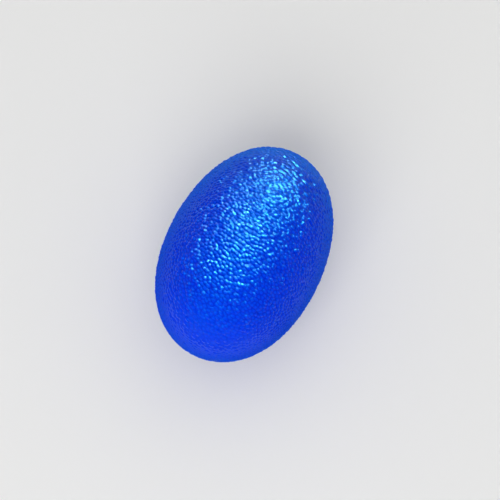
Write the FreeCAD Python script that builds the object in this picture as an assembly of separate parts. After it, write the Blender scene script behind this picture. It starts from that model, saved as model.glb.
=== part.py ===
import FreeCAD, Part
import math
import os

from FreeCAD import Vector

# A soft squeeze egg for hand exercise, lying on its side, in millimetres.
# X runs along the egg from its blunt end to its narrow end, and +Z is up.
# The origin is on the resting surface, under the middle of the egg's length.
# An elastomer skin, moulded as two half shells, is bonded round a soft gel fill.

# Outside shape: a blunt end, a flank and a narrow end, one arc each
EGG_LENGTH = 75.0
EGG_DIAMETER = 52.0
BLUNT_END_RADIUS = 22.4
NARROW_END_RADIUS = 21.4
# How much of the underside the egg's own weight flattens, as a flat cut
REST_FLAT_DEPTH = 0.5

# Skin halves, with the lap joint that locates one in the other for bonding
SKIN_WALL = 2.6
LAP_TONGUE_WALL = 1.2
LAP_TONGUE_HEIGHT = 1.6
LAP_CLEARANCE = 0.25

# Gel fill
GEL_CLEARANCE = 0.2

# Fill port in the palm side skin, near the blunt end, measured down from the long axis
PORT_ANGLE = 50.0
PORT_BORE_DIAMETER = 4.2
PORT_SINK_DEPTH = 1.1

# Plug that closes the port
PLUG_HEAD_DIAMETER = 8.0
PLUG_HEAD_PROUD = 2.0
PLUG_CLEARANCE = 0.15
PLUG_BARB_DIAMETER = 6.0
PLUG_BARB_TIP_DIAMETER = 3.0
PLUG_BARB_LENGTH = 2.4

# Room round the egg for the blocks that split it
SPLIT_MARGIN = 10.0


def flank_radius(widest_at, end_centre, end_radius, half_diameter):
    """Radius of the flank arc that meets an end arc smoothly, for a given widest section."""
    reach = (widest_at - end_centre) ** 2 + half_diameter**2 - end_radius**2
    return reach / (2 * (half_diameter - end_radius))


def widest_section(blunt_centre, narrow_centre, half_diameter):
    """Place along the egg where the flank arc suits both ends, found by halving an interval."""
    low = blunt_centre
    high = narrow_centre
    while high - low > 1e-9:
        middle = (low + high) / 2
        blunt_fit = flank_radius(middle, blunt_centre, BLUNT_END_RADIUS, half_diameter)
        narrow_fit = flank_radius(middle, narrow_centre, NARROW_END_RADIUS, half_diameter)
        if blunt_fit < narrow_fit:
            low = middle
        else:
            high = middle
    return (low + high) / 2


HALF_DIAMETER = EGG_DIAMETER / 2
AXIS_HEIGHT = HALF_DIAMETER - REST_FLAT_DEPTH
BLUNT_CENTRE = BLUNT_END_RADIUS - EGG_LENGTH / 2
NARROW_CENTRE = EGG_LENGTH / 2 - NARROW_END_RADIUS
WIDEST_AT = widest_section(BLUNT_CENTRE, NARROW_CENTRE, HALF_DIAMETER)
FLANK_RADIUS = flank_radius(WIDEST_AT, BLUNT_CENTRE, BLUNT_END_RADIUS, HALF_DIAMETER)


def on_arc(centre, radius, angle):
    """Point of an arc in the upright plane through the long axis."""
    return centre + Vector(radius * math.cos(angle), 0, radius * math.sin(angle))


def arc_edge(centre, radius, start, end):
    """Arc edge from one angle to another, by its two ends and its middle."""
    middle = (start + end) / 2
    points = [on_arc(centre, radius, angle) for angle in (start, middle, end)]
    return Part.Arc(*points).toShape()


def egg(inset):
    """The whole egg as a solid, with its surface drawn in by inset all over."""
    blunt = Vector(BLUNT_CENTRE, 0, AXIS_HEIGHT)
    narrow = Vector(NARROW_CENTRE, 0, AXIS_HEIGHT)
    flank = Vector(WIDEST_AT, 0, AXIS_HEIGHT + HALF_DIAMETER - FLANK_RADIUS)
    to_blunt = blunt - flank
    to_narrow = narrow - flank
    blunt_join = math.atan2(to_blunt.z, to_blunt.x) % (2 * math.pi)
    narrow_join = math.atan2(to_narrow.z, to_narrow.x) % (2 * math.pi)
    outline = [
        arc_edge(blunt, BLUNT_END_RADIUS - inset, math.pi, blunt_join),
        arc_edge(flank, FLANK_RADIUS - inset, blunt_join, narrow_join),
        arc_edge(narrow, NARROW_END_RADIUS - inset, narrow_join, 0),
    ]
    tips = [outline[-1].Vertexes[-1].Point, outline[0].Vertexes[0].Point]
    outline.append(Part.LineSegment(*tips).toShape())
    face = Part.Face(Part.Wire(outline))
    return face.revolve(blunt, Vector(1, 0, 0), 360)


def slab(bottom, top):
    """Block that spans the egg sideways, between two heights."""
    length = EGG_LENGTH + 2 * SPLIT_MARGIN
    width = EGG_DIAMETER + 2 * SPLIT_MARGIN
    return Part.makeBox(length, width, top - bottom, Vector(-length / 2, -width / 2, bottom))


def port_inward():
    """Direction of the fill port, from outside towards the gel."""
    angle = math.radians(PORT_ANGLE)
    return Vector(math.cos(angle), 0, math.sin(angle))


def port_point(depth):
    """Point on the port's axis, at a depth below the outside of the skin."""
    return Vector(BLUNT_CENTRE, 0, AXIS_HEIGHT) - port_inward() * (BLUNT_END_RADIUS - depth)


def port_cylinder(diameter, start_depth, end_depth):
    """Cylinder along the port's axis, between two depths."""
    length = end_depth - start_depth
    return Part.makeCylinder(diameter / 2, length, port_point(start_depth), port_inward())


def barb_depth():
    """Depth where the barb starts: the curved inner wall at the barb's rim, and a clearance."""
    inner_radius = BLUNT_END_RADIUS - SKIN_WALL
    wall_sag = inner_radius - math.sqrt(inner_radius**2 - (PLUG_BARB_DIAMETER / 2) ** 2)
    return SKIN_WALL + wall_sag + PLUG_CLEARANCE


def whole_skin():
    """Closed skin of even wall, flattened where it rests."""
    standing = slab(0, AXIS_HEIGHT + HALF_DIAMETER + SPLIT_MARGIN)
    return egg(0).common(standing).cut(egg(SKIN_WALL))


def make_palm_skin_half():
    """Half shell on the palm side, with the lap joint's tongue and the fill port."""
    half = whole_skin().common(slab(-SPLIT_MARGIN, AXIS_HEIGHT))
    ring = egg(SKIN_WALL - LAP_TONGUE_WALL).cut(egg(SKIN_WALL))
    tongue = ring.common(slab(AXIS_HEIGHT, AXIS_HEIGHT + LAP_TONGUE_HEIGHT))
    sink = port_cylinder(PLUG_HEAD_DIAMETER + 2 * PLUG_CLEARANCE, -PLUG_HEAD_PROUD, PORT_SINK_DEPTH)
    bore = port_cylinder(PORT_BORE_DIAMETER, 0, SKIN_WALL + PLUG_BARB_LENGTH)
    return half.fuse(tongue).removeSplitter().cut(sink).cut(bore)


def make_finger_skin_half():
    """Half shell on the finger side, rebated to take the tongue."""
    top = AXIS_HEIGHT + HALF_DIAMETER + SPLIT_MARGIN
    half = whole_skin().common(slab(AXIS_HEIGHT, top))
    groove_depth = LAP_TONGUE_HEIGHT + LAP_CLEARANCE
    room = egg(SKIN_WALL - LAP_TONGUE_WALL - LAP_CLEARANCE)
    return half.cut(room.common(slab(AXIS_HEIGHT - SPLIT_MARGIN, AXIS_HEIGHT + groove_depth)))


def make_gel_core():
    """Soft fill of the whole skin, with a pocket for the plug's barb."""
    pocket_diameter = PLUG_BARB_DIAMETER + 2 * GEL_CLEARANCE
    pocket_depth = barb_depth() + PLUG_BARB_LENGTH + GEL_CLEARANCE
    return egg(SKIN_WALL + GEL_CLEARANCE).cut(port_cylinder(pocket_diameter, 0, pocket_depth))


def make_fill_plug():
    """Plug with a head flush with the skin, a shank through the port and a barb inside."""
    head = port_cylinder(PLUG_HEAD_DIAMETER, -PLUG_HEAD_PROUD, PORT_SINK_DEPTH).common(egg(0))
    shank = port_cylinder(PORT_BORE_DIAMETER - 2 * PLUG_CLEARANCE, PORT_SINK_DEPTH, barb_depth())
    barb = Part.makeCone(
        PLUG_BARB_DIAMETER / 2,
        PLUG_BARB_TIP_DIAMETER / 2,
        PLUG_BARB_LENGTH,
        port_point(barb_depth()),
        port_inward(),
    )
    return head.fuse([shank, barb]).removeSplitter()


def write(node, shape):
    """One sub-part in its own STEP file, with its volume and size printed."""
    solid = shape.Solids[0]
    box = solid.optimalBoundingBox()
    print(
        f"{node}: {len(shape.Solids)} solid, valid {shape.isValid()}, {solid.Volume / 1000:.2f} cm3,",
        f"{box.XLength:.2f} x {box.YLength:.2f} x {box.ZLength:.2f} mm from z {box.ZMin:.2f}",
    )
    solid.exportStep(os.path.join("parts", node + ".step"))


os.makedirs("parts", exist_ok=True)
write("palm_skin_half", make_palm_skin_half())
write("finger_skin_half", make_finger_skin_half())
write("gel_core", make_gel_core())
write("fill_plug", make_fill_plug())
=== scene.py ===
"""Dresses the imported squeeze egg: two grained skin halves, gel fill, fill plug, and a studio round them."""
import math

import bmesh
import bpy
import numpy as np
from bpy.props import FloatProperty, FloatVectorProperty, IntProperty, PointerProperty
from bpy.types import Operator, Panel, PropertyGroup
from mathutils import Matrix, Vector, noise
from mathutils.kdtree import KDTree


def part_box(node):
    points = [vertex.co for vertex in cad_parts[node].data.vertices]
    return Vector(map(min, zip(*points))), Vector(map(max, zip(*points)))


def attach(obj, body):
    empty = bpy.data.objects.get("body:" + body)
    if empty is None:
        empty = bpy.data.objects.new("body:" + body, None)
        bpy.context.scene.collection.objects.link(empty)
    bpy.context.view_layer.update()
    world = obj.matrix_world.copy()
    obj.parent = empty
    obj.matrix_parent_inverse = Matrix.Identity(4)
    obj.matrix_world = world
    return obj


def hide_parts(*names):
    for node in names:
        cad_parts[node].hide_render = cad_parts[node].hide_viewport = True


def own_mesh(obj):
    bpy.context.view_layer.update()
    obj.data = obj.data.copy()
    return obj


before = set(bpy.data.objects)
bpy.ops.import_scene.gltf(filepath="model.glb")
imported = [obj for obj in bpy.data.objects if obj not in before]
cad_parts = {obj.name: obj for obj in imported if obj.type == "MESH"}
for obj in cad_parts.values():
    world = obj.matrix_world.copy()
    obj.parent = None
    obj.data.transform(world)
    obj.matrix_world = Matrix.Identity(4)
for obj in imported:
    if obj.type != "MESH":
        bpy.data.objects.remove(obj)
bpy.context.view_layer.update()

bl_info = {
    "name": "Squeeze Egg",
    "version": (1, 0, 0),
    "blender": (4, 5, 0),
    "location": "3D View > Sidebar > Squeeze Egg",
    "description": "Models a soft grained squeeze egg round its packed frame",
    "category": "Add Mesh",
}

# The frame's own sizes: the upper half shell runs from the parting plane to the top
UPPER_FROM, UPPER_TO = (Vector(corner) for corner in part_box("finger_skin_half"))
HALF_LENGTH = (UPPER_TO.x - UPPER_FROM.x) / 2
HALF_DIAMETER = UPPER_TO.z - UPPER_FROM.z
PARTING_HEIGHT = UPPER_FROM.z
# What a mesh keeps at its vertices: direction on a unit ball, distance from a valley for the painted shade
# there, slope of the grain
UNIT = "unit"
VALLEY_SHADE = "grain"
TILT = "tilt"
# A vertex within this many metres of the egg's outside is part of it
ON_SURFACE = 0.00002
# Places in half lengths from the egg's middle, two towards its narrow end and the last towards its blunt end
LAYOUT_MIDDLE = 0.43
LOOSER_FROM, LOOSER_TO = 0.1, 0.85
CALMER_FROM, CALMER_TO = 0.45, 0.85
# How far each ring of a rounded seam edge is turned, in degrees
SEAM_TURNS = (30, 60, 90)
SHARP_CORNER = math.radians(60)
ROUND_STEPS = 96
# A Mix node's sockets share their names, so they are picked by number
COLOUR_A, COLOUR_B, MIXED_COLOUR = 6, 7, 2
VALUE_A, VALUE_B, MIXED_VALUE = 2, 3, 0
FRAME_PIXELS = 500


def length(name, description, default):
    """A length in metres that a user may change."""
    return FloatProperty(
        name=name,
        description=description,
        default=default,
        min=0,
        precision=5,
        subtype="DISTANCE",
        unit="LENGTH",
    )


def number(name, description, default):
    """A plain number that a user may change."""
    return FloatProperty(name=name, description=description, default=default, precision=4)


def whole(name, description, default):
    """A whole number that a user may change."""
    return IntProperty(name=name, description=description, default=default)


def angle(name, description, degrees):
    """An angle that a user may change, given in degrees."""
    return FloatProperty(
        name=name, description=description, default=math.radians(degrees), subtype="ANGLE", unit="ROTATION"
    )


def colour(name, description, default):
    """A colour that a user may change."""
    return FloatVectorProperty(
        name=name, description=description, default=default, size=3, min=0, max=1, subtype="COLOR"
    )


class EggShape(PropertyGroup):
    """Outside of the egg, its wall and its lap joint."""

    half_length: length("Half length", "From the middle to either tip", HALF_LENGTH)
    half_diameter: length("Half diameter", "At the widest section", HALF_DIAMETER)
    parting_height: length("Parting height", "Of the plane where the halves meet", PARTING_HEIGHT)
    skew: number("Skew", "How much fuller the blunt end is than the narrow end", 0.0175)
    fullness: number("Fullness", "How much fuller both ends are than an ellipse's", 0.0653)
    wall: length("Skin wall", "Thickness of the skin", 0.0026)
    tongue_wall: length("Tongue wall", "Thickness of the lap joint's tongue", 0.0012)
    tongue_height: length("Tongue height", "Above the parting plane", 0.0016)
    lap_clearance: length("Lap clearance", "Between the tongue and its rebate", 0.00025)
    gel_clearance: length("Gel clearance", "Between the gel and the skin", 0.0002)
    seam_round: length("Seam round", "Radius of the edges that meet at the parting line", 0.00016)
    seam_gap: length("Seam gap", "Hairline between the two rims", 0.00002)
    cells_along: whole("Cells along", "Of the skin, between its two end caps", 310)
    cells_across: whole("Cells across", "Of the skin, over a quarter of its girth", 120)
    inner_cells: whole("Inner cells", "Inside, over a quarter of the girth", 24)
    cap_place: number("Cap place", "Where the end caps of cells start, as a share of the half length", 0.848)


class PortShape(PropertyGroup):
    """Fill port in the lower half, and the plug that closes it."""

    slant: angle("Slant", "Below the long axis, at the blunt end", 50)
    end_radius: length("End radius", "Of the blunt end that the port points to the middle of", 0.0224)
    sink_radius: length("Sink radius", "Of the sink for the plug's head", 0.00415)
    sink_depth: length("Sink depth", "Of the sink's floor below the skin", 0.0011)
    bore_radius: length("Bore radius", "Of the port through the wall", 0.0021)
    head_radius: length("Head radius", "Of the plug's head", 0.0040)
    shank_radius: length("Shank radius", "Of the plug's shank", 0.00195)
    barb_radius: length("Barb radius", "Of the plug's barb at its shoulder", 0.0030)
    barb_tip_radius: length("Barb tip radius", "Of the plug's barb at its tip", 0.0015)
    barb_depth: length("Barb depth", "Of the barb's shoulder below the skin", 0.00298)
    barb_length: length("Barb length", "From shoulder to tip", 0.0024)
    edge_round: length("Edge round", "Radius of the head's rim and the sink's mouth", 0.00022)


class PebbleGrain(PropertyGroup):
    """Fine pebbled grain that is moulded into the skin."""

    pitch: length("Pitch", "Between pebbles along their lay", 0.00160)
    lay: FloatVectorProperty(
        name="Lay",
        description="Direction in which the pebbles are longest",
        default=(-0.26, -0.95, -0.165),
        size=3,
        subtype="DIRECTION",
    )
    narrowing: number("Narrowing", "How much closer pebbles lie across their lay, level with the floor", 1.5)
    thinning: number("Thinning", "How much closer pebbles lie across their lay, upright", 1.4)
    growth: number("Growth", "Share by which the packing of the pebbles loosens at the narrow end", 0.3)
    spread: number("Spread", "Least distance between two pebbles, in pitches", 0.82)
    foot: number("Foot", "From a pebble's top to its foot, in pitches", 0.7)
    # The dark valley is painted shade in the skin's colour
    valley: number("Valley", "Width of the dark valley between two pebbles, in pitches", 0.6)
    depth: length("Depth", "From the feet to the tops of the pebbles", 0.00026)
    crispness: length("Crispness", "Depth of the grain that only the shading adds", 0.00016)
    uneven: number("Uneven", "Share by which pebbles differ in height", 0.45)
    lean: number("Lean", "How far the pebbles tip to one side, in heights a pitch", 0.2)
    calm: number("Calm", "Share of its depth that the grain loses at the blunt end", 0.4)
    swell: length("Swell", "Height of the slow waves under the grain", 0.00003)
    swell_size: length("Swell size", "Length of the slow waves under the grain", 0.006)
    land: length("Land", "Smooth border beside the parting line and the port", 0.0004)
    fade: length("Fade", "Over which the grain grows to its full depth", 0.0008)
    seed: whole("Seed", "Of the random layout", 11)


class Finishes(PropertyGroup):
    """Colours of the skin, the gel and the plug; the skin's valley colour is painted shade."""

    skin_peak: colour("Skin peaks", "On the tops of the pebbles", (0.0004, 0.056, 0.94))
    # Painted shade: the skin's colour between the pebbles, darker where shade falls in the valleys
    skin_valley_shade: colour("Skin valleys", "Between the pebbles", (0.0001, 0.015, 0.69))
    skin_cloud: colour("Skin cloud", "Faint milky patches in the elastomer", (0.0008, 0.048, 0.90))
    glint: colour("Glint", "Tint of the skin's gloss", (0.015, 0.55, 1.0))
    gel: colour("Gel", "The gel fill", (0.01, 0.14, 0.85))
    bubble: colour("Bubbles", "The fine bubbles in the gel", (0.35, 0.6, 0.95))
    plug: colour("Plug", "The fill plug", (0.001, 0.05, 0.62))


class Studio(PropertyGroup):
    """Camera, lamps and floor."""

    view_turn: angle("View turn", "Of the camera about the egg, from the front", -63.2)
    view_lift: angle("View lift", "Of the camera above the floor", 76)
    view_distance: length("View distance", "From the camera to the egg", 0.42)
    focal_length: number("Focal length", "Of the camera's lens, in millimetres", 92.0)
    egg_left: number("Egg left", "How far the egg stands left of the frame's middle, in pixels", 4.7)
    egg_below: number("Egg below", "How far the egg stands below the frame's middle, in pixels", 3.4)
    floor_radius: length("Floor radius", "Of the studio floor", 4)
    floor_colour: colour("Floor", "The floor as it is seen", (0.92, 0.92, 0.91))
    floor_bounce: colour("Floor bounce", "The floor as it lights the egg", (0.3, 0.3, 0.3))
    surroundings: number("Surroundings", "Strength of the even light from all round", 0.55)


class SqueezeEgg(PropertyGroup):
    """Everything a user would change."""

    shape: PointerProperty(type=EggShape)
    port: PointerProperty(type=PortShape)
    grain: PointerProperty(type=PebbleGrain)
    finishes: PointerProperty(type=Finishes)
    studio: PointerProperty(type=Studio)


def egg_settings():
    """The scene's own settings for the egg."""
    return bpy.context.scene.squeeze_egg


def points_of(mesh):
    """A mesh's vertices as an array."""
    flat = np.zeros(len(mesh.vertices) * 3)
    mesh.vertices.foreach_get("co", flat)
    return flat.reshape(-1, 3)


def place_points(mesh, points):
    """Moves a mesh's vertices to the rows of an array."""
    mesh.vertices.foreach_set("co", np.asarray(points, float).ravel())
    mesh.update()


def egg_at(unit, shape, inset=0.0):
    """Points of the egg, drawn in by inset, and its outward normals, for directions on a unit ball."""
    cosine = unit[:, 0]
    swell = 1 - shape.skew * cosine + shape.fullness * cosine**2
    swell_rate = 2 * shape.fullness * cosine - shape.skew
    slope = shape.half_diameter * (cosine * swell - (1 - cosine**2) * swell_rate)
    normals = np.column_stack([slope, shape.half_length * unit[:, 1], shape.half_length * unit[:, 2]])
    normals /= np.linalg.norm(normals, axis=1)[:, None]
    width = shape.half_diameter * swell
    points = np.column_stack([shape.half_length * cosine, width * unit[:, 1], width * unit[:, 2]])
    points[:, 2] += shape.parting_height
    return points - inset * normals, normals


def units_at(points, shape):
    """Directions on a unit ball for points on the egg's outside, and how far each lies outside it."""
    cosine = np.clip(points[:, 0] / shape.half_length, -1, 1)
    width = shape.half_diameter * (1 - shape.skew * cosine + shape.fullness * cosine**2)
    across = np.column_stack([points[:, 1], points[:, 2] - shape.parting_height]) / width[:, None]
    radius = np.linalg.norm(across, axis=1)
    sine = np.sqrt(1 - cosine**2)
    return np.column_stack([cosine, across]), (radius - sine) * width


def box_mesh(along, across, side):
    """Cube of square grids, or its upper half if side is 1, or its lower half if side is -1.

    Its four long sides are along by across cells, and its two ends across by across.
    """
    bm = bmesh.new()
    for quarter in range(4):
        placing = Matrix.Rotation(quarter * math.pi / 2, 4, "X") @ Matrix.Translation((0, 0, 1))
        bmesh.ops.create_grid(bm, x_segments=along, y_segments=across, size=1, matrix=placing)
    for end in (-1, 1):
        placing = Matrix.Rotation(end * math.pi / 2, 4, "Y") @ Matrix.Translation((0, 0, 1))
        bmesh.ops.create_grid(bm, x_segments=across, y_segments=across, size=1, matrix=placing)
    closeness = 1 / (4 * max(along, across))
    bmesh.ops.remove_doubles(bm, verts=bm.verts[:], dist=closeness)
    if side:
        beyond = [v for v in bm.verts if v.co.z * side < -closeness]
        bmesh.ops.delete(bm, geom=beyond, context="VERTS")
    bmesh.ops.recalc_face_normals(bm, faces=bm.faces[:])
    mesh = bpy.data.meshes.new("box")
    bm.to_mesh(mesh)
    bm.free()
    return mesh


def even_stations(shape, count=2000):
    """Shares of the half length between the end caps, spaced evenly along the egg's outline."""
    shares = np.linspace(-shape.cap_place, shape.cap_place, count)
    beside = np.column_stack([shares, np.sqrt(1 - shares**2), np.zeros(count)])
    steps = np.linalg.norm(np.diff(egg_at(beside, shape)[0], axis=0), axis=1)
    reach = np.concatenate([[0], np.cumsum(steps)])
    return 2 * reach / reach[-1] - 1, shares


def egg_mesh(along, across, side, shape, inset):
    """Skin of the egg or of half of it, drawn in by inset, that keeps each vertex's direction."""
    mesh = box_mesh(along, across, side)
    unit = np.tan(points_of(mesh) * math.pi / 4)
    share = np.interp(points_of(mesh)[:, 0], *even_stations(shape))
    unit[:, 0] = share / np.sqrt(1 - share**2)
    unit /= np.linalg.norm(unit, axis=1)[:, None]
    kept = mesh.attributes.new(UNIT, "FLOAT_VECTOR", "POINT")
    kept.data.foreach_set("vector", unit.ravel())
    place_points(mesh, egg_at(unit, shape, inset)[0])
    return mesh


def add_rim(bm, edges, shape, inset, height, grow=True):
    """Takes an open rim to an inset from the outside and a height above the parting plane."""
    layer = bm.verts.layers.float_vector[UNIT]
    if grow:
        grown = bmesh.ops.extrude_edge_only(bm, edges=edges)["geom"]
        edges = [part for part in grown if isinstance(part, bmesh.types.BMEdge)]
    verts = list({v for edge in edges for v in edge.verts})
    unit = np.array([v[layer] for v in verts])
    unit[:, 2] = 0
    for vert, point in zip(verts, egg_at(unit, shape, inset)[0]):
        vert.co = (point[0], point[1], shape.parting_height + height)
    return edges


def open_rim(bm):
    """The edges with only one face."""
    return [edge for edge in bm.edges if edge.is_boundary]


def shell_half(name, side, rims, shape):
    """Half shell with rounded seam edges.

    rims leads its inner rim through the lap joint, as insets from the outside and heights.
    """
    bm = bmesh.new()
    skin = egg_mesh(shape.cells_along, shape.cells_across, side, shape, 0)
    bm.from_mesh(skin)
    edge_radius = shape.seam_round
    edge_height = edge_radius + shape.seam_gap / 2
    outer = add_rim(bm, open_rim(bm), shape, 0, side * edge_height, grow=False)
    for degrees in SEAM_TURNS:
        turn = math.radians(degrees)
        inset = edge_radius * (1 - math.cos(turn))
        outer = add_rim(bm, outer, shape, inset, side * (edge_height - edge_radius * math.sin(turn)))
    lining = egg_mesh(2 * shape.inner_cells, shape.inner_cells, side, shape, shape.wall)
    bm.from_mesh(lining)
    seen = set(outer)
    inner = [edge for edge in open_rim(bm) if edge not in seen]
    inner = add_rim(bm, inner, shape, *rims[0], grow=False)
    for inset, height in rims[1:]:
        inner = add_rim(bm, inner, shape, inset, height)
    bmesh.ops.bridge_loops(bm, edges=outer + inner)
    bmesh.ops.recalc_face_normals(bm, faces=bm.faces[:])
    mesh = bpy.data.meshes.new(name)
    bm.to_mesh(mesh)
    bm.free()
    for used in (skin, lining):
        bpy.data.meshes.remove(used)
    return mesh


def port_matrix(shape, port):
    """Places a shape made along +Z on the port's axis: its origin on the skin, and +Z pointing inwards."""
    inward = Vector((math.cos(port.slant), 0, math.sin(port.slant)))
    middle = Vector((port.end_radius - shape.half_length, 0, shape.parting_height))
    start = middle - inward * port.end_radius
    return Matrix.Translation(start) @ inward.to_track_quat("Z", "X").to_matrix().to_4x4()


def seen_from_port(points, shape, port):
    """The port's inward axis, and how deep along it and how far beside it each point lies."""
    placing = port_matrix(shape, port)
    axis = np.array(placing.col[2][:3])
    reach = points - np.array(placing.translation)
    depth = reach @ axis
    return axis, depth, np.linalg.norm(reach - depth[:, None] * axis, axis=1)


def turned_mesh(name, outline, placing):
    """Closed round solid, turned from an outline of radius and depth that starts and ends on its axis."""
    bm = bmesh.new()
    verts = [bm.verts.new((radius, 0, depth)) for radius, depth in outline]
    edges = [bm.edges.new(pair) for pair in zip(verts, verts[1:])]
    bmesh.ops.spin(
        bm,
        geom=verts + edges,
        cent=(0, 0, 0),
        axis=(0, 0, 1),
        angle=math.tau,
        steps=ROUND_STEPS,
        use_merge=True,
    )
    bmesh.ops.remove_doubles(bm, verts=bm.verts[:], dist=ON_SURFACE / 4)
    bmesh.ops.recalc_face_normals(bm, faces=bm.faces[:])
    bmesh.ops.transform(bm, matrix=placing, verts=bm.verts[:])
    mesh = bpy.data.meshes.new(name)
    bm.to_mesh(mesh)
    bm.free()
    return mesh


def add_piece(name, mesh):
    """Links a mesh to the scene as a piece that stands at the origin."""
    piece = bpy.data.objects.new(name, mesh)
    bpy.context.scene.collection.objects.link(piece)
    return piece


def cut_port(piece, shape, port):
    """Cuts the stepped fill port, with a rounded mouth, through a skin half."""
    flare = port.edge_round
    clear = 4 * flare
    outline = [
        (0, -clear),
        (port.sink_radius + clear, -clear),
        (port.sink_radius + flare, 0),
        (port.sink_radius + flare / 3, flare / 3),
        (port.sink_radius, flare),
        (port.sink_radius, port.sink_depth),
        (port.bore_radius, port.sink_depth),
        (port.bore_radius, port.barb_depth + port.barb_length),
        (0, port.barb_depth + port.barb_length),
    ]
    cutter = add_piece("port_cutter", turned_mesh("port_cutter", outline, port_matrix(shape, port)))
    cut = piece.modifiers.new("port", "BOOLEAN")
    cut.operation = "DIFFERENCE"
    cut.solver = "MANIFOLD"
    cut.object = cutter
    graph = bpy.context.evaluated_depsgraph_get()
    uncut = piece.data
    piece.data = bpy.data.meshes.new_from_object(piece.evaluated_get(graph))
    piece.modifiers.clear()
    bpy.data.objects.remove(cutter)
    bpy.data.meshes.remove(uncut)
    if len(piece.data.vertices) == 0:
        raise RuntimeError("the port cut left nothing of the skin")


def smooth_step(value, low, high):
    """0 below low, 1 above high, and an even curve between."""
    share = np.clip((value - low) / (high - low), 0, 1)
    return share * share * (3 - 2 * share)


def in_pebble_space(points, shape, grain):
    """Points in a space where pebbles are round and a pitch is 1, and that space's axes at each point."""
    middle = np.array([LAYOUT_MIDDLE * shape.half_length, 0, shape.parting_height])
    looser = smooth_step(points[:, 0], LOOSER_FROM * shape.half_length, LOOSER_TO * shape.half_length)
    closing = 1 - grain.growth * looser
    lay = Vector(grain.lay).normalized()
    level = lay.cross(Vector((0, 0, 1))).normalized()
    upright = lay.cross(level)
    axes = np.array([lay, level * grain.narrowing, upright * grain.thinning]) / grain.pitch
    return (points - middle) * closing[:, None] @ axes.T, closing[:, None, None] * axes


def spread_middles(places, gap, random):
    """Places picked at random, no two of them nearer than gap, until no more fit."""
    kept = {}
    picked = []
    cells = np.floor(places / gap).astype(int).tolist()
    around = [(x, y, z) for x in (-1, 0, 1) for y in (-1, 0, 1) for z in (-1, 0, 1)]
    rows = places.tolist()
    for index in random.permutation(len(rows)).tolist():
        x, y, z = rows[index]
        i, j, k = cells[index]
        near = (kept[key] for key in ((i + a, j + b, k + c) for a, b, c in around) if key in kept)
        if any((x - p) ** 2 + (y - q) ** 2 + (z - r) ** 2 < gap * gap for group in near for p, q, r in group):
            continue
        kept.setdefault((i, j, k), []).append((x, y, z))
        picked.append((x, y, z))
    return picked


def nearest_middle(places, middles):
    """Which of the middles lies nearest to each place, and how much further away the next one is."""
    tree = KDTree(len(middles))
    for index, middle in enumerate(middles):
        tree.insert(middle, index)
    tree.balance()
    pairs = [tree.find_n(place, 2) for place in places]
    nearest = np.array([pair[0][1] for pair in pairs])
    return nearest, np.array([pair[1][2] - pair[0][2] for pair in pairs])


def pebbles(points, shape, grain):
    """Height of the grain at each point, its slope in X, Y and Z, and how far from a valley it is, 0 to 1."""
    random = np.random.default_rng(grain.seed)
    places, axes = in_pebble_space(points, shape, grain)
    middles = np.array(spread_middles(places, grain.spread, random))
    tops = 1 + grain.uneven * random.uniform(-1, 1, len(middles))
    leans = grain.lean * random.normal(size=(len(middles), 3))
    nearest, further = nearest_middle(places, middles)
    offsets = places - middles[nearest]
    top, lean = tops[nearest][:, None], leans[nearest]
    heights = top[:, 0] * (1 - (offsets**2).sum(axis=1) / grain.foot**2) + (lean * offsets).sum(axis=1)
    rates = lean - 2 * top * offsets / grain.foot**2
    return heights, np.einsum("nk,nkj->nj", rates, axes), np.minimum(further / grain.valley, 1)


def slow_waves(points, size):
    """Even, slow noise between about -1 and 1 at each point."""
    return np.array([noise.noise(Vector(point) / size) for point in points])


def grow_grain(mesh, shape, grain, port=None):
    """Raises the moulded grain on a skin half's outside, and keeps its valleys, for painted shade, and its
    slopes on the mesh.
    """
    points = points_of(mesh)
    unit, outside = units_at(points, shape)
    from_seam = np.abs(points[:, 2] - shape.parting_height)
    seam_edge = shape.seam_round + grain.land
    strength = smooth_step(from_seam, seam_edge, seam_edge + grain.fade)
    if port is not None:
        depth, from_axis = seen_from_port(points, shape, port)[1:]
        port_edge = port.sink_radius + port.edge_round + grain.land
        round_port = smooth_step(from_axis, port_edge, port_edge + grain.fade)
        strength = np.where(depth < port.end_radius, strength * round_port, strength)
    # The egg stands on a small smooth spot, so that no pebble reaches below the floor
    resting_spot = grain.fade / 4
    strength *= smooth_step(points[:, 2], 0, resting_spot)
    strength *= 1 - grain.calm * smooth_step(-unit[:, 0], CALMER_FROM, CALMER_TO)
    strength[np.abs(outside) >= ON_SURFACE] = 0
    raised = strength > 0
    heights = np.zeros(len(points))
    slopes = np.zeros((len(points), 3))
    valley_shading = np.ones(len(points))
    heights[raised], slopes[raised], valley_shading[raised] = pebbles(points[raised], shape, grain)
    # Half the height of an average pebble lies below the smooth egg
    sunk = 0.5
    lift = np.zeros(len(points))
    lift[raised] = grain.depth * (heights[raised] - sunk)
    lift[raised] += grain.swell * slow_waves(points[raised], grain.swell_size)
    normals = egg_at(unit, shape)[1]
    points += (lift * strength)[:, None] * normals
    points[:, 2] = np.maximum(points[:, 2], 0)
    place_points(mesh, points)
    # How far each point lies from a valley; the skin's colour darkens towards the valleys as painted shade
    kept = mesh.attributes.new(VALLEY_SHADE, "FLOAT", "POINT")
    kept.data.foreach_set("value", 1 - (1 - valley_shading) * strength)
    level_slopes = slopes - (slopes * normals).sum(axis=1)[:, None] * normals
    kept = mesh.attributes.new(TILT, "FLOAT_VECTOR", "POINT")
    kept.data.foreach_set("vector", (-grain.crispness * strength[:, None] * level_slopes).ravel())


def finish_mesh(mesh, material):
    """Smooth shading with the true corners kept sharp, the material, and no leftover data."""
    if UNIT in mesh.attributes:
        mesh.attributes.remove(mesh.attributes[UNIT])
    mesh.shade_smooth()
    mesh.set_sharp_from_angle(angle=SHARP_CORNER)
    mesh.materials.clear()
    mesh.materials.append(material)


def settle(piece, body, node):
    """Ties a finished piece to its body, hides the solid that it stands for, and gives the piece a mesh of
    its own.
    """
    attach(piece, body)
    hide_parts(node)
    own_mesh(piece)


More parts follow.
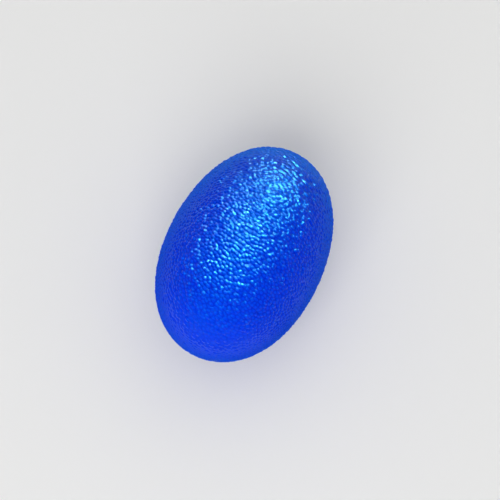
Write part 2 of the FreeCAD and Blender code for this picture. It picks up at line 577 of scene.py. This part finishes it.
def add_node(tree, kind, settings=None, inputs=None):
    """Adds a node with its settings and the values of its sockets."""
    node = tree.nodes.new(kind)
    for name, value in (settings or {}).items():
        setattr(node, name, value)
    for name, value in (inputs or {}).items():
        node.inputs[name].default_value = value
    return node


def new_group(name, sockets_in, sockets_out):
    """Empty shader node group with named sockets; those that go in have a kind and a value."""
    group = bpy.data.node_groups.new(name, "ShaderNodeTree")
    for label, (kind, value) in sockets_in.items():
        socket = group.interface.new_socket(name=label, in_out="INPUT", socket_type=kind)
        socket.default_value = value
    for label, kind in sockets_out.items():
        group.interface.new_socket(name=label, in_out="OUTPUT", socket_type=kind)
    return group, group.nodes.new("NodeGroupInput"), group.nodes.new("NodeGroupOutput")


def tint_group():
    """Colour and gloss of the elastomer: darker in the valleys as painted shade, with milky clouds and an
    uneven gloss.
    """
    name = "Elastomer tint"
    if name in bpy.data.node_groups:
        return bpy.data.node_groups[name]
    colour_kind = "NodeSocketColor"
    value_kind = "NodeSocketFloat"
    group, given, put_out = new_group(
        name,
        {
            "Relief": (value_kind, 1.0),
            "Valley": (colour_kind, (0, 0.05, 0.6, 1)),
            "Peak": (colour_kind, (0, 0.09, 0.8, 1)),
            "Cloud": (colour_kind, (0, 0.1, 0.8, 1)),
            "Cloud scale": (value_kind, 60.0),
            "Cloud share": (value_kind, 0.3),
            "Gloss low": (value_kind, 0.3),
            "Gloss high": (value_kind, 0.4),
        },
        {"Colour": colour_kind, "Roughness": value_kind},
    )
    link = group.links.new
    place = add_node(group, "ShaderNodeTexCoord")
    # Painted shade: the colour goes from the valley colour near the valleys to the peak colour away from them
    valley_shade_mask = add_node(group, "ShaderNodeMapRange", {"interpolation_type": "SMOOTHSTEP"})
    link(given.outputs["Relief"], valley_shade_mask.inputs["Value"])
    valley_shading = add_node(group, "ShaderNodeMix", {"data_type": "RGBA"})
    link(valley_shade_mask.outputs["Result"], valley_shading.inputs["Factor"])
    link(given.outputs["Valley"], valley_shading.inputs[COLOUR_A])
    link(given.outputs["Peak"], valley_shading.inputs[COLOUR_B])
    clouds = add_node(group, "ShaderNodeTexNoise", inputs={"Detail": 3.0, "Roughness": 0.55})
    link(place.outputs["Object"], clouds.inputs["Vector"])
    link(given.outputs["Cloud scale"], clouds.inputs["Scale"])
    spread = add_node(group, "ShaderNodeMapRange", inputs={"From Min": 0.35, "From Max": 0.7})
    link(clouds.outputs["Fac"], spread.inputs["Value"])
    amount = add_node(group, "ShaderNodeMath", {"operation": "MULTIPLY"})
    link(spread.outputs["Result"], amount.inputs[0])
    link(given.outputs["Cloud share"], amount.inputs[1])
    milky = add_node(group, "ShaderNodeMix", {"data_type": "RGBA"})
    link(amount.outputs["Value"], milky.inputs["Factor"])
    link(valley_shading.outputs[MIXED_COLOUR], milky.inputs[COLOUR_A])
    link(given.outputs["Cloud"], milky.inputs[COLOUR_B])
    link(milky.outputs[MIXED_COLOUR], put_out.inputs["Colour"])
    handling = add_node(group, "ShaderNodeTexNoise", inputs={"Scale": 140.0, "Detail": 4.0, "Roughness": 0.6})
    link(place.outputs["Object"], handling.inputs["Vector"])
    gloss = add_node(group, "ShaderNodeMapRange", inputs={"From Min": 0.3, "From Max": 0.7})
    link(handling.outputs["Fac"], gloss.inputs["Value"])
    link(given.outputs["Gloss low"], gloss.inputs["To Min"])
    link(given.outputs["Gloss high"], gloss.inputs["To Max"])
    link(gloss.outputs["Result"], put_out.inputs["Roughness"])
    return group


def fine_skin_group():
    """Height in metres, for a Bump node, of soft specks and pits much smaller than a pebble."""
    name = "Elastomer fine skin"
    if name in bpy.data.node_groups:
        return bpy.data.node_groups[name]
    group, given, put_out = new_group(
        name,
        {
            "Scale": ("NodeSocketFloat", 1500.0),
            "Pits": ("NodeSocketFloat", 0.4),
            "Depth": ("NodeSocketFloat", 0.00001),
        },
        {"Height": "NodeSocketFloat"},
    )
    link = group.links.new
    place = add_node(group, "ShaderNodeTexCoord")
    specks = add_node(group, "ShaderNodeTexNoise", inputs={"Detail": 3.0, "Roughness": 0.6})
    pits = add_node(group, "ShaderNodeTexVoronoi", inputs={"Randomness": 1.0})
    for texture in (specks, pits):
        link(place.outputs["Object"], texture.inputs["Vector"])
        link(given.outputs["Scale"], texture.inputs["Scale"])
    mixed = add_node(group, "ShaderNodeMix", {"data_type": "FLOAT"})
    link(given.outputs["Pits"], mixed.inputs["Factor"])
    link(specks.outputs["Fac"], mixed.inputs[VALUE_A])
    link(pits.outputs["Distance"], mixed.inputs[VALUE_B])
    fine = add_node(group, "ShaderNodeMath", {"operation": "MULTIPLY"})
    link(mixed.outputs[MIXED_VALUE], fine.inputs[0])
    link(given.outputs["Depth"], fine.inputs[1])
    link(fine.outputs["Value"], put_out.inputs["Height"])
    return group


def elastomer(name, peak, valley, cloud, glint, gloss, soft_depth, fine_depth):
    """Soft translucent elastomer: colour from its grain, darkened in the valleys as painted shade, light that
    spreads inside it, and a tinted gloss.
    """
    material = bpy.data.materials.new(name)
    material.use_nodes = True
    tree = material.node_tree
    tree.nodes.clear()
    link = tree.links.new
    output = add_node(tree, "ShaderNodeOutputMaterial")
    surface = add_node(
        tree,
        "ShaderNodeBsdfPrincipled",
        {"subsurface_method": "RANDOM_WALK", "distribution": "GGX"},
        {
            "IOR": 1.38,
            "Subsurface Weight": 1.0,
            "Subsurface Radius": (0.2, 0.5, 1.0),
            "Subsurface Scale": soft_depth,
            "Specular IOR Level": 0.5,
            "Specular Tint": (*glint, 1),
        },
    )
    link(surface.outputs["BSDF"], output.inputs["Surface"])
    # Distance from the grain's valleys, which sets the painted shade in the colour
    grain = add_node(tree, "ShaderNodeAttribute", {"attribute_name": VALLEY_SHADE})
    tint = add_node(
        tree,
        "ShaderNodeGroup",
        {"node_tree": tint_group()},
        {
            "Valley": (*valley, 1),
            "Peak": (*peak, 1),
            "Cloud": (*cloud, 1),
            "Cloud scale": 60.0,
            "Cloud share": 0.35,
            "Gloss low": gloss[0],
            "Gloss high": gloss[1],
        },
    )
    link(grain.outputs["Fac"], tint.inputs["Relief"])
    link(tint.outputs["Colour"], surface.inputs["Base Color"])
    # The gloss dulls towards the outline, so that the pale floor isn't mirrored there
    facing = add_node(tree, "ShaderNodeLayerWeight", inputs={"Blend": 0.5})
    duller = add_node(
        tree, "ShaderNodeMapRange", inputs={"From Min": 0.35, "From Max": 0.7, "To Min": 0.0, "To Max": 0.8}
    )
    link(facing.outputs["Facing"], duller.inputs["Value"])
    gloss_sum = add_node(tree, "ShaderNodeMath", {"operation": "ADD", "use_clamp": True})
    link(tint.outputs["Roughness"], gloss_sum.inputs[0])
    link(duller.outputs["Result"], gloss_sum.inputs[1])
    link(gloss_sum.outputs["Value"], surface.inputs["Roughness"])
    # The grain's own slopes tilt the shading, because the mesh rounds them off
    smooth = add_node(tree, "ShaderNodeNewGeometry")
    tilt = add_node(tree, "ShaderNodeAttribute", {"attribute_name": TILT})
    tilted = add_node(tree, "ShaderNodeVectorMath", {"operation": "ADD"})
    link(smooth.outputs["Normal"], tilted.inputs[0])
    link(tilt.outputs["Vector"], tilted.inputs[1])
    unit = add_node(tree, "ShaderNodeVectorMath", {"operation": "NORMALIZE"})
    link(tilted.outputs["Vector"], unit.inputs[0])
    fine = add_node(tree, "ShaderNodeGroup", {"node_tree": fine_skin_group()}, {"Depth": fine_depth})
    bump = add_node(tree, "ShaderNodeBump", inputs={"Strength": 1.0, "Distance": 1.0})
    link(fine.outputs["Height"], bump.inputs["Height"])
    link(unit.outputs["Vector"], bump.inputs["Normal"])
    link(bump.outputs["Normal"], surface.inputs["Normal"])
    return material


def skin_material(finishes):
    """Satin blue skin of both halves."""
    name = "Blue skin"
    if name in bpy.data.materials:
        return bpy.data.materials[name]
    return elastomer(
        name,
        finishes.skin_peak,
        finishes.skin_valley_shade,
        finishes.skin_cloud,
        finishes.glint,
        gloss=(0.11, 0.16),
        soft_depth=0.003,
        fine_depth=0.000007,
    )


class SQUEEZE_EGG_OT_palm_skin(Operator):
    """Models the lower skin half, with the tongue of its lap joint and the fill port"""

    bl_idname = "squeeze_egg.palm_skin"
    bl_label = "Lower skin half"

    def execute(self, context):
        egg = egg_settings()
        shape = egg.shape
        tongue_inset = shape.wall - shape.tongue_wall
        rims = [
            (shape.wall, 0),
            (shape.wall, shape.tongue_height),
            (tongue_inset, shape.tongue_height),
            (tongue_inset, -shape.seam_gap / 2),
        ]
        piece = add_piece("palm_skin", shell_half("palm_skin", -1, rims, shape))
        cut_port(piece, shape, egg.port)
        grow_grain(piece.data, shape, egg.grain, egg.port)
        finish_mesh(piece.data, skin_material(egg.finishes))
        settle(piece, "root", "palm_skin_half")
        return {"FINISHED"}


class SQUEEZE_EGG_OT_finger_skin(Operator):
    """Models the upper skin half, rebated for the tongue of the lower one"""

    bl_idname = "squeeze_egg.finger_skin"
    bl_label = "Upper skin half"

    def execute(self, context):
        egg = egg_settings()
        shape = egg.shape
        rebate_inset = shape.wall - shape.tongue_wall - shape.lap_clearance
        rebate_top = shape.tongue_height + shape.lap_clearance
        rims = [(shape.wall, rebate_top), (rebate_inset, rebate_top), (rebate_inset, shape.seam_gap / 2)]
        piece = add_piece("finger_skin", shell_half("finger_skin", 1, rims, shape))
        grow_grain(piece.data, shape, egg.grain)
        finish_mesh(piece.data, skin_material(egg.finishes))
        settle(piece, "finger_side", "finger_skin_half")
        return {"FINISHED"}


class SQUEEZE_EGG_OT_gel_fill(Operator):
    """Models the gel that fills the skin, with a pocket for the plug's barb"""

    bl_idname = "squeeze_egg.gel_fill"
    bl_label = "Gel fill"

    def execute(self, context):
        egg = egg_settings()
        shape = egg.shape
        inset = shape.wall + shape.gel_clearance
        mesh = egg_mesh(4 * shape.inner_cells, 2 * shape.inner_cells, 0, shape, inset)
        self.press_pocket(mesh, shape, egg.port)
        finish_mesh(mesh, self.gel_material(egg.finishes))
        settle(add_piece("gel_fill", mesh), "root", "gel_core")
        return {"FINISHED"}

    def press_pocket(self, mesh, shape, port):
        """Pushes the gel's surface in round the plug's barb."""
        points = points_of(mesh)
        axis, depth, from_axis = seen_from_port(points, shape, port)
        pocket_radius = port.barb_radius + shape.gel_clearance
        rim_radius = 1.6 * pocket_radius
        floor = port.barb_depth + port.barb_length + shape.gel_clearance
        inside = 1 - smooth_step(from_axis, pocket_radius, rim_radius)
        pressed = np.where(depth < floor, (floor - depth) * inside, 0)
        place_points(mesh, points + pressed[:, None] * axis)

    def gel_material(self, finishes):
        """Clear blue gel with fine bubbles."""
        material = bpy.data.materials.new("Clear gel")
        material.use_nodes = True
        tree = material.node_tree
        link = tree.links.new
        surface = tree.nodes["Principled BSDF"]
        for label, value in (("Roughness", 0.12), ("IOR", 1.41), ("Transmission Weight", 0.7)):
            surface.inputs[label].default_value = value
        place = add_node(tree, "ShaderNodeTexCoord")
        bubbles = add_node(tree, "ShaderNodeTexVoronoi", inputs={"Scale": 260.0})
        link(place.outputs["Object"], bubbles.inputs["Vector"])
        ring = add_node(tree, "ShaderNodeMapRange", inputs={"From Min": 0.08, "From Max": 0.2})
        link(bubbles.outputs["Distance"], ring.inputs["Value"])
        tinted = add_node(tree, "ShaderNodeMix", {"data_type": "RGBA"})
        tinted.inputs[COLOUR_A].default_value = (*finishes.bubble, 1)
        tinted.inputs[COLOUR_B].default_value = (*finishes.gel, 1)
        link(ring.outputs["Result"], tinted.inputs["Factor"])
        link(tinted.outputs[MIXED_COLOUR], surface.inputs["Base Color"])
        return material


class SQUEEZE_EGG_OT_fill_plug(Operator):
    """Models the plug: a head flush with the skin, a shank and a barb"""

    bl_idname = "squeeze_egg.fill_plug"
    bl_label = "Fill plug"

    def execute(self, context):
        egg = egg_settings()
        shape = egg.shape
        port = egg.port
        rim = port.edge_round
        crown_rings = 17
        crown = [(port.head_radius * share, 0) for share in np.linspace(0, 1, crown_rings + 1)[:-2]]
        outline = [
            *crown,
            (port.head_radius - rim, 0),
            (port.head_radius - rim / 3, rim / 3),
            (port.head_radius, rim),
            (port.head_radius, port.sink_depth),
            (port.shank_radius, port.sink_depth),
            (port.shank_radius, port.barb_depth),
            (port.barb_radius, port.barb_depth),
            (port.barb_tip_radius, port.barb_depth + port.barb_length),
            (0, port.barb_depth + port.barb_length),
        ]
        placing = port_matrix(shape, port)
        mesh = turned_mesh("fill_plug", outline, Matrix.Identity(4))
        self.follow_skin(mesh, shape, port, placing)
        mesh.transform(placing)
        finish_mesh(mesh, self.plug_material(egg.finishes))
        settle(add_piece("plug", mesh), "root", "fill_plug")
        return {"FINISHED"}

    def follow_skin(self, mesh, shape, port, placing):
        """Curves the head's top so that it is flush with the egg around it."""
        points = points_of(mesh)
        just_below_rim = port.edge_round * 1.01
        top = points[:, 2] < just_below_rim
        turn = np.array(placing.to_3x3())
        start = np.array(placing.translation)
        low = np.full(top.sum(), -port.sink_depth)
        high = np.full(top.sum(), port.sink_depth)
        tried = points[top]
        halvings = 30
        for _ in range(halvings):
            depth = (low + high) / 2
            tried[:, 2] = depth
            outside = units_at(tried @ turn.T + start, shape)[1]
            low = np.where(outside > 0, depth, low)
            high = np.where(outside > 0, high, depth)
        points[top, 2] += (low + high) / 2
        place_points(mesh, points)

    def plug_material(self, finishes):
        """Smooth, slightly darker elastomer than the skin's."""
        return elastomer(
            "Blue plug",
            finishes.plug,
            finishes.plug,
            # The plug's clouds take the skin's valley shade colour; its own peak and valley colours match, so
            # it has no painted shade
            finishes.skin_valley_shade,
            finishes.glint,
            gloss=(0.26, 0.36),
            soft_depth=0.001,
            fine_depth=0.000006,
        )


class SQUEEZE_EGG_OT_stage(Operator):
    """Sets up the floor, the lamps, the pale surroundings and the camera"""

    bl_idname = "squeeze_egg.stage"
    bl_label = "Stage"

    def execute(self, context):
        studio = egg_settings().studio
        self.add_floor(studio)
        self.add_surroundings(context.scene, studio)
        middle = Vector((0, 0, PARTING_HEIGHT))
        # Only mirrored: makes the field of bright dashes near the narrow end
        card = self.add_lamp(
            "card",
            middle,
            direction=(0.68, 0.05, 0.73),
            lie=(-0.217, -0.917, 0.3),
            distance=1.0,
            size=(1.0, 0.5),
            power=113,
        )
        card.visible_diffuse = False
        # Only mirrored: carries that field, much weaker, towards the blunt end
        sheet = self.add_lamp(
            "sheet",
            middle,
            direction=(-0.16, 0.12, 0.98),
            lie=(-0.217, -0.917, 0.1),
            distance=1.0,
            size=(1.0, 0.4),
            power=11,
        )
        sheet.visible_diffuse = False
        # Only mirrored: leaves faint sparks on the blunt end
        window = self.add_lamp(
            "window",
            middle,
            direction=(-0.85, -0.05, 0.53),
            lie=(0.1, -1, 0),
            distance=1.2,
            size=(0.4, 0.3),
            power=2.8,
        )
        window.visible_diffuse = False
        # Never mirrored: brings out the colour, most of all at the blunt end
        key = self.add_lamp(
            "key",
            middle,
            direction=(-0.76, -0.15, 0.64),
            lie=(0.3, -0.95, 0),
            distance=1.5,
            size=(1.4, 1.4),
            power=12.5,
        )
        key.visible_glossy = False
        self.add_camera(context.scene, studio, middle)
        context.scene.view_settings.view_transform = "Standard"
        return {"FINISHED"}

    def add_floor(self, studio):
        """Pale floor that the egg rests on."""
        bm = bmesh.new()
        bmesh.ops.create_circle(bm, cap_ends=True, segments=ROUND_STEPS, radius=studio.floor_radius)
        mesh = bpy.data.meshes.new("floor")
        bm.to_mesh(mesh)
        bm.free()
        mesh.materials.append(self.floor_material(studio))
        add_piece("floor", mesh)

    def floor_material(self, studio):
        """Matt floor that looks pale, but throws less light back at the egg than it shows."""
        material = bpy.data.materials.new("Pale floor")
        material.use_nodes = True
        tree = material.node_tree
        surface = tree.nodes["Principled BSDF"]
        ray = add_node(tree, "ShaderNodeLightPath")
        shown = ray.outputs["Is Camera Ray"]
        for label in ("Is Glossy Ray", "Is Transmission Ray"):
            more = add_node(tree, "ShaderNodeMath", {"operation": "ADD", "use_clamp": True})
            tree.links.new(shown, more.inputs[0])
            tree.links.new(ray.outputs[label], more.inputs[1])
            shown = more.outputs["Value"]
        seen = add_node(tree, "ShaderNodeMix", {"data_type": "RGBA"})
        seen.inputs[COLOUR_A].default_value = (*studio.floor_bounce, 1)
        seen.inputs[COLOUR_B].default_value = (*studio.floor_colour, 1)
        tree.links.new(shown, seen.inputs["Factor"])
        tree.links.new(seen.outputs[MIXED_COLOUR], surface.inputs["Base Color"])
        surface.inputs["Roughness"].default_value = 0.9
        surface.inputs["Specular IOR Level"].default_value = 0.1
        return material

    def add_surroundings(self, scene, studio):
        """Even white light from all round."""
        world = bpy.data.worlds.new("Pale room")
        world.use_nodes = True
        background = world.node_tree.nodes["Background"]
        background.inputs["Color"].default_value = (1, 1, 1, 1)
        background.inputs["Strength"].default_value = studio.surroundings
        scene.world = world

    def add_lamp(self, name, target, direction, lie, distance, size, power):
        """Soft lamp that faces the egg, with its first side along lie."""
        lamp = bpy.data.lights.new(name, "AREA")
        lamp.shape = "RECTANGLE"
        lamp.size, lamp.size_y = size
        lamp.energy = power
        holder = bpy.data.objects.new(name, lamp)
        towards = Vector(direction).normalized()
        across = towards.cross(Vector(lie)).normalized()
        holder.location = target + towards * distance
        holder.rotation_euler = Matrix((across.cross(towards), across, towards)).transposed().to_euler()
        bpy.context.scene.collection.objects.link(holder)
        return holder

    def add_camera(self, scene, studio, middle):
        """Camera that looks down on the egg, which appears where the frame needs it."""
        turn, lift = studio.view_turn, studio.view_lift
        towards = Vector((math.sin(turn) * math.cos(lift), -math.cos(turn) * math.cos(lift), math.sin(lift)))
        right = Vector((math.cos(turn), math.sin(turn), 0))
        up = towards.cross(right)
        camera = bpy.data.cameras.new("view")
        camera.lens = studio.focal_length
        metres_a_pixel = studio.view_distance * camera.sensor_width / camera.lens / FRAME_PIXELS
        aim = middle + (right * studio.egg_left + up * studio.egg_below) * metres_a_pixel
        holder = bpy.data.objects.new("view", camera)
        holder.location = aim + towards * studio.view_distance
        holder.rotation_euler = Matrix((right, up, towards)).transposed().to_euler()
        scene.collection.objects.link(holder)
        scene.camera = holder


class SQUEEZE_EGG_PT_sidebar(Panel):
    """Lists the steps that make the egg"""

    bl_idname = "SQUEEZE_EGG_PT_sidebar"
    bl_label = "Squeeze Egg"
    bl_space_type = "VIEW_3D"
    bl_region_type = "UI"
    bl_category = "Squeeze Egg"

    def draw(self, context):
        for step in STEPS:
            self.layout.operator(step.bl_idname)


STEPS = (
    SQUEEZE_EGG_OT_palm_skin,
    SQUEEZE_EGG_OT_finger_skin,
    SQUEEZE_EGG_OT_gel_fill,
    SQUEEZE_EGG_OT_fill_plug,
    SQUEEZE_EGG_OT_stage,
)
SETTINGS = (EggShape, PortShape, PebbleGrain, Finishes, Studio, SqueezeEgg)


def register():
    """Registers the settings, the steps and the panel."""
    for kind in (*SETTINGS, *STEPS, SQUEEZE_EGG_PT_sidebar):
        bpy.utils.register_class(kind)
    bpy.types.Scene.squeeze_egg = PointerProperty(type=SqueezeEgg)


def unregister():
    """Takes them away again."""
    del bpy.types.Scene.squeeze_egg
    for kind in reversed((*SETTINGS, *STEPS, SQUEEZE_EGG_PT_sidebar)):
        bpy.utils.unregister_class(kind)


def main():
    """Makes every piece and the stage."""
    register()
    bpy.ops.squeeze_egg.palm_skin()
    bpy.ops.squeeze_egg.finger_skin()
    bpy.ops.squeeze_egg.gel_fill()
    bpy.ops.squeeze_egg.fill_plug()
    bpy.ops.squeeze_egg.stage()


if __name__ == "__main__":
    main()
